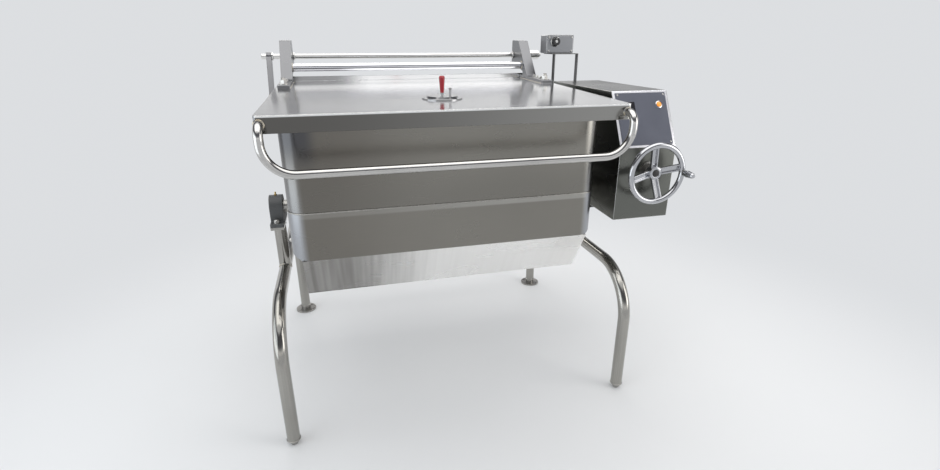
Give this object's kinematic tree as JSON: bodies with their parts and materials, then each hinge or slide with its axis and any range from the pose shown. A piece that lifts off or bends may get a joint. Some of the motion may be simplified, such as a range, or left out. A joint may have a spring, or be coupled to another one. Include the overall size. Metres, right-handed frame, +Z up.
{
  "type": "tilting braising pan",
  "caption": "Floor-standing rectangular braising pan on a bent-tube leg frame, tilted by a hand wheel, with a hinged lid, a bent-tube lid handle and a side console.",
  "frame": {"origin": "bottom centre of the assembly's box, on the floor", "axes": "+X to the cook's right, towards the console; +Y from the front to the rear hinge; +Z up"},
  "size_m": [1.2686, 0.9752, 1.154],
  "materials": {
    "sheet_steel": "satin, brushed",
    "tube_steel": "polished tube",
    "bright_steel": "bright satin",
    "cast_grey": "satin grey enamel",
    "wheel_chrome": "polished chrome",
    "panel_slate": "matt overlay",
    "lamp_amber": "clear amber lens",
    "knob_red": "glossy",
    "knob_black": "satin black"
  },
  "bodies": {
    "frame": {"rear_tie": "tube_steel", "gear_case": "cast_grey", "console_body": "sheet_steel", "control_panel": "panel_slate", "indicator_lamp": "lamp_amber", "wheel_bush": "bright_steel", "switch_box": "sheet_steel", "box_bracket": "bright_steel", "control_knob": "knob_black", "side_frame_left": "tube_steel", "side_frame_right": "tube_steel", "rear_leg_left": "tube_steel", "rear_leg_right": "tube_steel", "bearing_post_left": "tube_steel", "bearing_post_right": "tube_steel", "trunnion_bearing_left": "cast_grey", "trunnion_bearing_right": "cast_grey", "front_foot_left": "bright_steel", "front_foot_right": "bright_steel", "rear_foot_left": "bright_steel", "rear_foot_right": "bright_steel"},
    "pan": {"pan_shell": "sheet_steel", "heater_jacket": "sheet_steel", "jacket_floor": "sheet_steel", "trunnion_left": "bright_steel", "trunnion_right": "bright_steel", "hinge_rail": "sheet_steel", "hinge_tube": "bright_steel", "hinge_cap_left": "bright_steel", "hinge_cap_right": "bright_steel", "hinge_bracket_left": "bright_steel", "hinge_bracket_right": "bright_steel"},
    "lid": {"lid_panel": "sheet_steel", "lid_handle": "bright_steel", "lid_arm_left": "bright_steel", "lid_arm_right": "bright_steel", "lid_cross_tube": "bright_steel", "vent_plate": "bright_steel", "vent_cover": "bright_steel", "vent_knob": "knob_red"},
    "hand_wheel": {"hand_wheel": "wheel_chrome", "wheel_shaft": "bright_steel", "wheel_grip": "wheel_chrome"}
  },
  "joints": [
    {"name": "pan_tilt", "type": "hinge", "parent": "frame", "child": "pan", "pos_m": [-0.08373, -0.0404, 0.636], "axis": [1, 0, 0], "range_deg": [0, 85]},
    {"name": "lid_lift", "type": "hinge", "parent": "pan", "child": "lid", "pos_m": [-0.08373, 0.4196, 1.078], "axis": [-1, 0, 0], "range_deg": [0, 85]},
    {"name": "wheel_turn", "type": "hinge", "parent": "frame", "child": "hand_wheel", "pos_m": [0.53727, -0.3954, 0.758], "axis": [0, -1, 0], "range_deg": [0, 3400]}
  ],
  "couplings": [
    {"joint": "wheel_turn", "follows": "pan_tilt", "ratio": 40}
  ]
}
